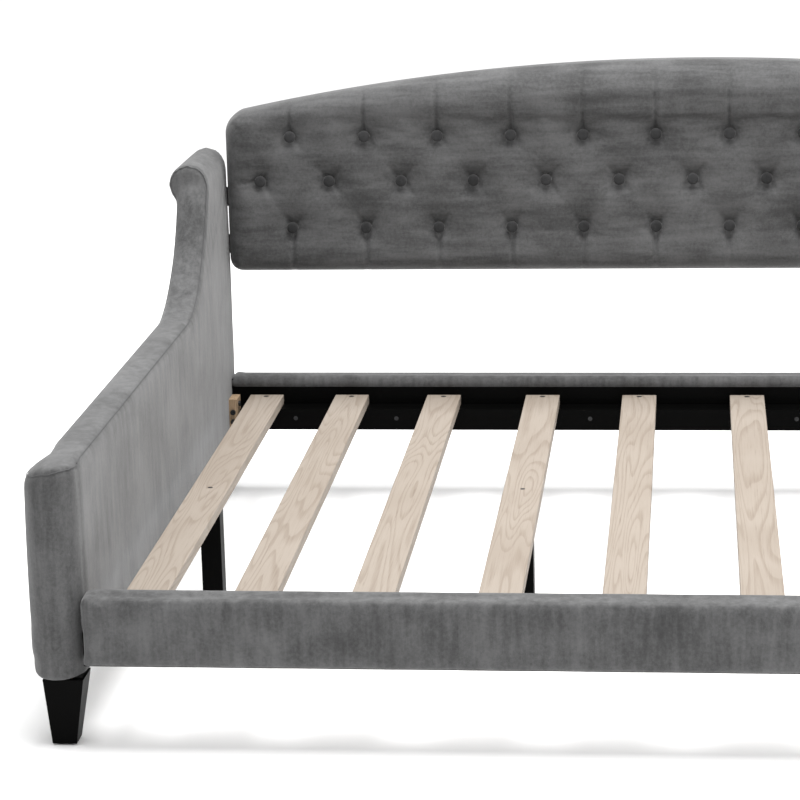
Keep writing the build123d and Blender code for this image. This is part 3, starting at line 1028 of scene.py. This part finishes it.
@dataclass
class BackPanel:
    """The arched back: buttoned padding in front, a plain cover behind."""

    palette: Palette
    lower_corner: float = 0.027
    upper_corner: float = 0.040
    edge_round: float = 0.036
    columns: int = 300
    rows: int = 68
    button_radius: float = 0.012
    board_wrap: float = 0.0008
    dimple_depth: float = 0.019
    dimple_width: float = 0.024
    valley_depth: float = 0.0045
    pleat_depth: float = 0.0075
    pleat_width: float = 0.0085
    shoulder: float = 0.797
    middle_z: float = 0.661
    upper_z: float = 0.753
    lower_z: float = 0.564
    middle_x: tuple = (0.0, 0.1485, 0.297, 0.4455, 0.594, 0.7425, 0.885)
    outer_x: tuple = (0.074, 0.221, 0.368, 0.518, 0.668, 0.821)
    low: Vector = field(init=False)
    high: Vector = field(init=False)
    radius: float = field(init=False)

    def __post_init__(self) -> None:
        """Takes the panel's box from the frame and works out the radius of its arch."""
        self.low, self.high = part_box("back_padding")
        rise = self.high.z - self.shoulder
        self.radius = (self.high.x ** 2 + rise ** 2) / (2 * rise)

    def arch(self, x: np.ndarray) -> np.ndarray:
        """The top edge's height."""
        return self.high.z - self.radius + np.sqrt(self.radius ** 2 - x ** 2)

    def buttons(self) -> dict[str, list[tuple]]:
        """X and Z of the buttons of each row."""
        both = lambda places: sorted({side * x for x in places for side in (-1, 1)})
        return {"middle": [(x, self.middle_z) for x in both(self.middle_x)],
                "upper": [(x, self.upper_z) for x in both(self.outer_x)],
                "lower": [(x, self.lower_z) for x in both(self.outer_x)]}

    def shaped_grid(self, name: str, columns: int, rows: int, front: float, edge: float,
                    inset: float) -> bpy.types.Object:
        """An arched sheet with round corners whose edge turns back in a quarter round.

        Args:
            name: the piece's name.
            columns: faces along the length.
            rows: faces up the height.
            front: Y of its flat middle.
            edge: the depth of its rounded edge; negative where the sheet faces the rear.
            inset: how far its outline is drawn in.

        Returns:
            The sheet.
        """
        Bench.clear()
        bpy.ops.mesh.primitive_grid_add(x_subdivisions=columns, y_subdivisions=rows, size=1.0)
        sheet = Bench.named(name)
        flat = Bench.points(sheet)
        half = self.high.x - inset
        x = flat[:, 0] * 2 * half
        bottom = self.low.z + inset
        z_flat = bottom + (flat[:, 1] + 0.5) * (self.shoulder - inset - bottom)
        stretch = (self.arch(np.zeros(1)) - self.low.z) / (self.shoulder - self.low.z)
        away = np.minimum(half - np.abs(x), np.minimum((flat[:, 1] + 0.5), 0.5 - flat[:, 1])
                          * (self.shoulder - bottom) * stretch)
        for corner, radius, top in ((bottom, self.lower_corner, False), (self.shoulder - inset, self.upper_corner, True)):
            a = np.abs(x) - (half - radius)
            b = (z_flat - (corner - radius)) if top else ((corner + radius) - z_flat)
            inside = (a > 0) & (b > 0)
            shrink = np.where(inside, np.maximum(a, b) / np.maximum(np.hypot(a, b), 1e-9), 1.0)
            x = np.where(inside, np.sign(x) * (half - radius + a * shrink), x)
            moved = (corner - radius + b * shrink) if top else (corner + radius - b * shrink)
            z_flat = np.where(inside, moved, z_flat)
        share = (z_flat - bottom) / (self.shoulder - inset - bottom)
        z = bottom + share * (self.arch(x) - inset - bottom)
        depth = abs(edge)
        lean = depth - np.sqrt(np.clip(depth ** 2 - np.clip(depth - away, 0, depth) ** 2, 0, None))
        y = front + math.copysign(1.0, edge) * lean
        Bench.reshape(sheet, np.stack([x, y, z], 1))
        return sheet

    @staticmethod
    def close_behind(sheet: bpy.types.Object, behind: float, strips: int) -> None:
        """Draws the sheet's rim back in strips and closes it.

        Args:
            sheet: the open sheet.
            behind: Y of the closing face.
            strips: the rim's strips.
        """
        Bench.pick(sheet)
        rim = Bench.points(sheet)[:, 1]
        start = rim[0]
        bpy.ops.object.mode_set(mode="EDIT")
        bpy.ops.mesh.select_mode(type="EDGE")
        bpy.ops.mesh.select_all(action="SELECT")
        bpy.ops.mesh.region_to_loop()
        for _ in range(strips):
            step = Vector((0, (behind - start) / strips, 0))
            bpy.ops.mesh.extrude_edges_move(TRANSFORM_OT_translate={"value": step})
        bpy.ops.mesh.fill(use_beauty=True)
        bpy.ops.mesh.select_all(action="SELECT")
        bpy.ops.mesh.normals_make_consistent(inside=False)
        bpy.ops.object.mode_set(mode="OBJECT")

    def tuft(self, points: np.ndarray) -> np.ndarray:
        """How far the buttons pull each point in: dimples, valleys between buttons, and broad swells."""
        x, z = points[:, 0], points[:, 2]
        rows = self.buttons()
        press = np.zeros(len(points))
        for bx, bz in rows["middle"] + rows["upper"] + rows["lower"]:
            r = np.hypot(x - bx, z - bz)
            press += self.dimple_depth / (1.0 + (r / self.dimple_width) ** 2.2)
        for bx, bz in rows["middle"]:
            for cx, cz in rows["upper"] + rows["lower"]:
                if abs(cx - bx) < 0.085:
                    press += self.valley_depth * self.groove(x, z, (bx, bz), (cx, cz), 0.010, True)
        return press

    @staticmethod
    def groove(x: np.ndarray, z: np.ndarray, start: tuple, end: tuple, width: float, fade: bool) -> np.ndarray:
        """A groove's share of its depth at each point, along a straight line.

        Args:
            x: the points' X.
            z: the points' Z.
            start: one end.
            end: the other end.
            width: how far to each side it reaches.
            fade: whether it fades towards the middle of the line rather than towards its end.

        Returns:
            From 0 outside the groove to 1 at its deepest.
        """
        span = np.array([end[0] - start[0], end[1] - start[1]])
        length = float(np.hypot(*span))
        along = ((x - start[0]) * span[0] + (z - start[1]) * span[1]) / length ** 2
        across = np.abs((x - start[0]) * span[1] - (z - start[1]) * span[0]) / length
        inside = (along > 0) & (along < 1)
        profile = (1.0 - smooth_step(0.0, width, across)) * inside
        strength = (2 * np.abs(along - 0.5)) ** 1.5 if fade else np.clip(1.15 - along, 0, 1) ** 0.8
        return profile * np.where(inside, strength, 0.0)

    def pleats(self, points: np.ndarray) -> np.ndarray:
        """How far the folds from the outer buttons to the panel's edge press in."""
        x, z = points[:, 0], points[:, 2]
        rows = self.buttons()
        press = np.zeros(len(points))
        for bx, bz in rows["upper"]:
            top = float(self.arch(np.array(bx))) + 0.004
            press += self.groove(x, z, (bx, bz), (bx - 0.004, top), self.pleat_width, False)
        for bx, bz in rows["lower"]:
            press += self.groove(x, z, (bx, bz), (bx - 0.002, self.low.z - 0.004), self.pleat_width, False)
        for side in (-1, 1):
            bx, bz = rows["middle"][0 if side < 0 else -1]
            press += 0.7 * self.groove(x, z, (bx, bz), (bx + side * 0.050, bz - 0.006), self.pleat_width, False)
        for bx, bz in rows["middle"]:
            for cx, cz in rows["upper"] + rows["lower"]:
                if abs(cx - bx) < 0.085:
                    near = (bx + (cx - bx) * 0.34, bz + (cz - bz) * 0.34)
                    far = (cx + (bx - cx) * 0.30, cz + (bz - cz) * 0.30)
                    press += 0.45 * self.groove(x, z, (bx, bz), near, self.pleat_width, False)
                    press += 0.35 * self.groove(x, z, (cx, cz), far, self.pleat_width, False)
        return press * self.pleat_depth

    def build_padding(self) -> None:
        """The buttoned padding, swelled between its buttons."""
        front = self.low.y + 0.004
        pad = self.shaped_grid("back_padding_cover", self.columns, self.rows, front, self.edge_round, -self.board_wrap)
        self.close_behind(pad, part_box("back_rear_cover")[0].y + 0.002, 5)
        points = Bench.points(pad)
        facing = 1.0 - smooth_step(front + 0.01, front + self.edge_round, points[:, 1])
        points[:, 1] += self.tuft(points) * facing
        Bench.reshape(pad, points)
        places = [spot for row in self.buttons().values() for spot in row]

        def held(points: np.ndarray) -> np.ndarray:
            """The buttons' seats and the sides behind the rounded edge stay."""
            weight = smooth_step(front + 0.030, front + 0.042, points[:, 1])
            for bx, bz in places:
                r = np.hypot(points[:, 0] - bx, points[:, 2] - bz)
                weight = np.maximum(weight, 1.0 - smooth_step(0.008, 0.014, r))
            return weight

        Bench.fill(pad, 0.007, held, pressure=3.0)
        Bench.apply(pad, "SUBSURF", levels=1, render_levels=1)
        points = Bench.points(pad)
        facing = 1.0 - smooth_step(front + 0.02, front + self.edge_round + 0.006, points[:, 1])
        Bench.reshape(pad, points - Bench.normals(pad) * (self.pleats(points) * facing)[:, None])
        Bench.soften(pad)
        self.palette.dress(pad, Finish.BACK_VELVET)
        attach(pad, "root")
        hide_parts("back_padding")
        log.info("back padding: %d points", len(pad.data.vertices))

    def build_rear(self) -> None:
        """The plain cover over the panel's back."""
        low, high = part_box("back_rear_cover")
        rear = high.y - 0.0035
        cover = self.shaped_grid("back_rear_panel", 120, 28, rear, -0.004, 0.002)
        self.close_behind(cover, low.y - 0.003, 1)
        Bench.soften(cover)
        Bench.pick(cover)
        bpy.ops.object.shade_smooth_by_angle(angle=math.radians(50))
        self.palette.dress(cover, Finish.VELVET)
        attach(cover, "root")
        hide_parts("back_rear_cover")

    def build_buttons(self) -> None:
        """The covered buttons: one domed button, copied to every seat."""
        low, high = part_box("back_buttons")
        Bench.clear()
        bpy.ops.mesh.primitive_uv_sphere_add(segments=24, ring_count=12, radius=self.button_radius)
        model = Bench.named("back_button_covers")
        points = Bench.points(model)
        crown = np.sqrt(np.clip(1.0 - (np.hypot(points[:, 0], points[:, 2]) / self.button_radius) ** 4, 0, 1))
        thick = (high.y - low.y) * 0.5
        points[:, 1] = np.sign(points[:, 1]) * thick * crown
        Bench.reshape(model, points)
        places = [spot for row in self.buttons().values() for spot in row]
        copies = []
        for x, z in places:
            Bench.pick(model)
            bpy.ops.object.duplicate(linked=False)
            copy = bpy.context.object
            spots = Bench.points(copy) + np.array([x, low.y + thick, z])
            Bench.reshape(copy, spots)
            copies.append(copy)
        bpy.data.objects.remove(model)
        Bench.pick(*copies)
        bpy.ops.object.join()
        buttons = bpy.context.object
        buttons.name = "back_button_covers"
        Bench.soften(buttons)
        # The buttons' dark grey is painted shade of their dimples, not a different cloth.
        self.palette.dress(buttons, Finish.BUTTON)
        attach(buttons, "root")
        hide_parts("back_buttons")

    def build(self) -> None:
        """The whole back panel."""
        self.build_padding()
        self.build_rear()
        self.build_buttons()


@dataclass
class DustCovers:
    """The black cloth stapled under each arm."""

    palette: Palette

    def build(self) -> None:
        """Both strips, drawn flat."""
        for side in ("left", "right"):
            low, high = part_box(f"{side}_arm_dust_cover")
            size = high - low
            Bench.clear()
            bpy.ops.mesh.primitive_grid_add(x_subdivisions=6, y_subdivisions=120, size=1.0,
                                            location=(low + high) / 2, scale=(1.0, 1.0, 1.0))
            cloth = Bench.named(f"{side}_arm_dust_cloth")
            points = Bench.points(cloth)
            centre = (low + high) / 2
            points[:, 0] = centre.x + (points[:, 0] - centre.x) * size.x
            points[:, 1] = centre.y + (points[:, 1] - centre.y) * size.y
            pucker = np.sin((points[:, 1] - low.y) * 2 * math.pi / 0.075) * np.abs(points[:, 0] - centre.x) / size.x
            points[:, 2] = centre.z - 0.0002 + 0.0006 * pucker
            Bench.reshape(cloth, points)
            Bench.soften(cloth)
            self.palette.dress(cloth, Finish.DUST_CLOTH)
            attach(cloth, "root")
            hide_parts(f"{side}_arm_dust_cover")


@dataclass
class Studio:
    """Floor, light and camera."""

    camera_place: tuple = (-0.0016, -4.728, 1.5986)
    pitch: float = 13.127
    yaw: float = 5.818
    roll: float = -1.382
    lens: float = 121.64
    shift: tuple = (-0.030, -0.075)

    def floor(self) -> None:
        """A plain pale floor."""
        Bench.clear()
        bpy.ops.mesh.primitive_plane_add(size=40.0, location=(0, 0, 0))
        floor = Bench.named("studio_floor")
        shade = Shade("floor_paper")
        cloud = shade.noise(1.5, 2.0)
        shade.feed("Base Color", shade.mix(cloud, (0.90, 0.90, 0.90), (0.92, 0.92, 0.92)))
        shade.set(Roughness=0.9, Specular_IOR_Level=0.1)
        floor.data.materials.append(shade.material)

    def light(self, name: str, place: tuple, target: tuple, size: float, power: float) -> None:
        """One square soft light.

        Args:
            name: the light's name.
            place: where it is.
            target: what it points at.
            size: its side.
            power: in watts.
        """
        data = bpy.data.lights.new(name, "AREA")
        data.shape = "SQUARE"
        data.size = size
        data.energy = power
        lamp = bpy.data.objects.new(name, data)
        bpy.context.scene.collection.objects.link(lamp)
        lamp.location = place
        lamp.rotation_mode = "QUATERNION"
        lamp.rotation_quaternion = (Vector(target) - Vector(place)).to_track_quat("-Z", "Y")

    def world(self, strength: float) -> None:
        """An even white surround."""
        world = bpy.data.worlds.new("surround")
        world.use_nodes = True
        back = world.node_tree.nodes["Background"]
        back.inputs[0].default_value = (1.0, 1.0, 1.0, 1.0)
        back.inputs[1].default_value = strength
        bpy.context.scene.world = world

    def camera(self) -> None:
        """The camera, turned to look a little down and to the left."""
        data = bpy.data.cameras.new("camera")
        data.lens = self.lens
        data.sensor_width = 36.0
        data.shift_x, data.shift_y = self.shift
        camera = bpy.data.objects.new("camera", data)
        bpy.context.scene.collection.objects.link(camera)
        turn = (Matrix.Rotation(math.radians(self.yaw), 3, "Z")
                @ Matrix.Rotation(math.radians(90.0 - self.pitch), 3, "X")
                @ Matrix.Rotation(math.radians(self.roll), 3, "Z"))
        camera.rotation_mode = "QUATERNION"
        camera.rotation_quaternion = turn.to_quaternion()
        camera.location = self.camera_place
        bpy.context.scene.camera = camera

    def build(self) -> None:
        """Everything round the object."""
        self.floor()
        self.world(1.12)
        self.light("overhead", (0.2, 0.1, 3.4), (0.0, 0.1, 0.3), 2.6, 250.0)
        self.light("front_right", (3.2, -2.6, 2.4), (0.0, 0.0, 0.4), 2.0, 26.0)
        self.camera()
        bpy.context.scene.view_settings.view_transform = "Standard"


def main() -> None:
    """Builds the studio and every piece."""
    logging.basicConfig(level=logging.INFO, format="%(name)s %(message)s")
    palette = Palette()
    palette.dress_cad()
    Studio().build()
    for assembly in (Arms(palette), Rails(palette), BackPanel(palette), DustCovers(palette)):
        assembly.build()
        log.info("%s built", type(assembly).__name__)
    Bench.clear()


if __name__ == "__main__":
    main()
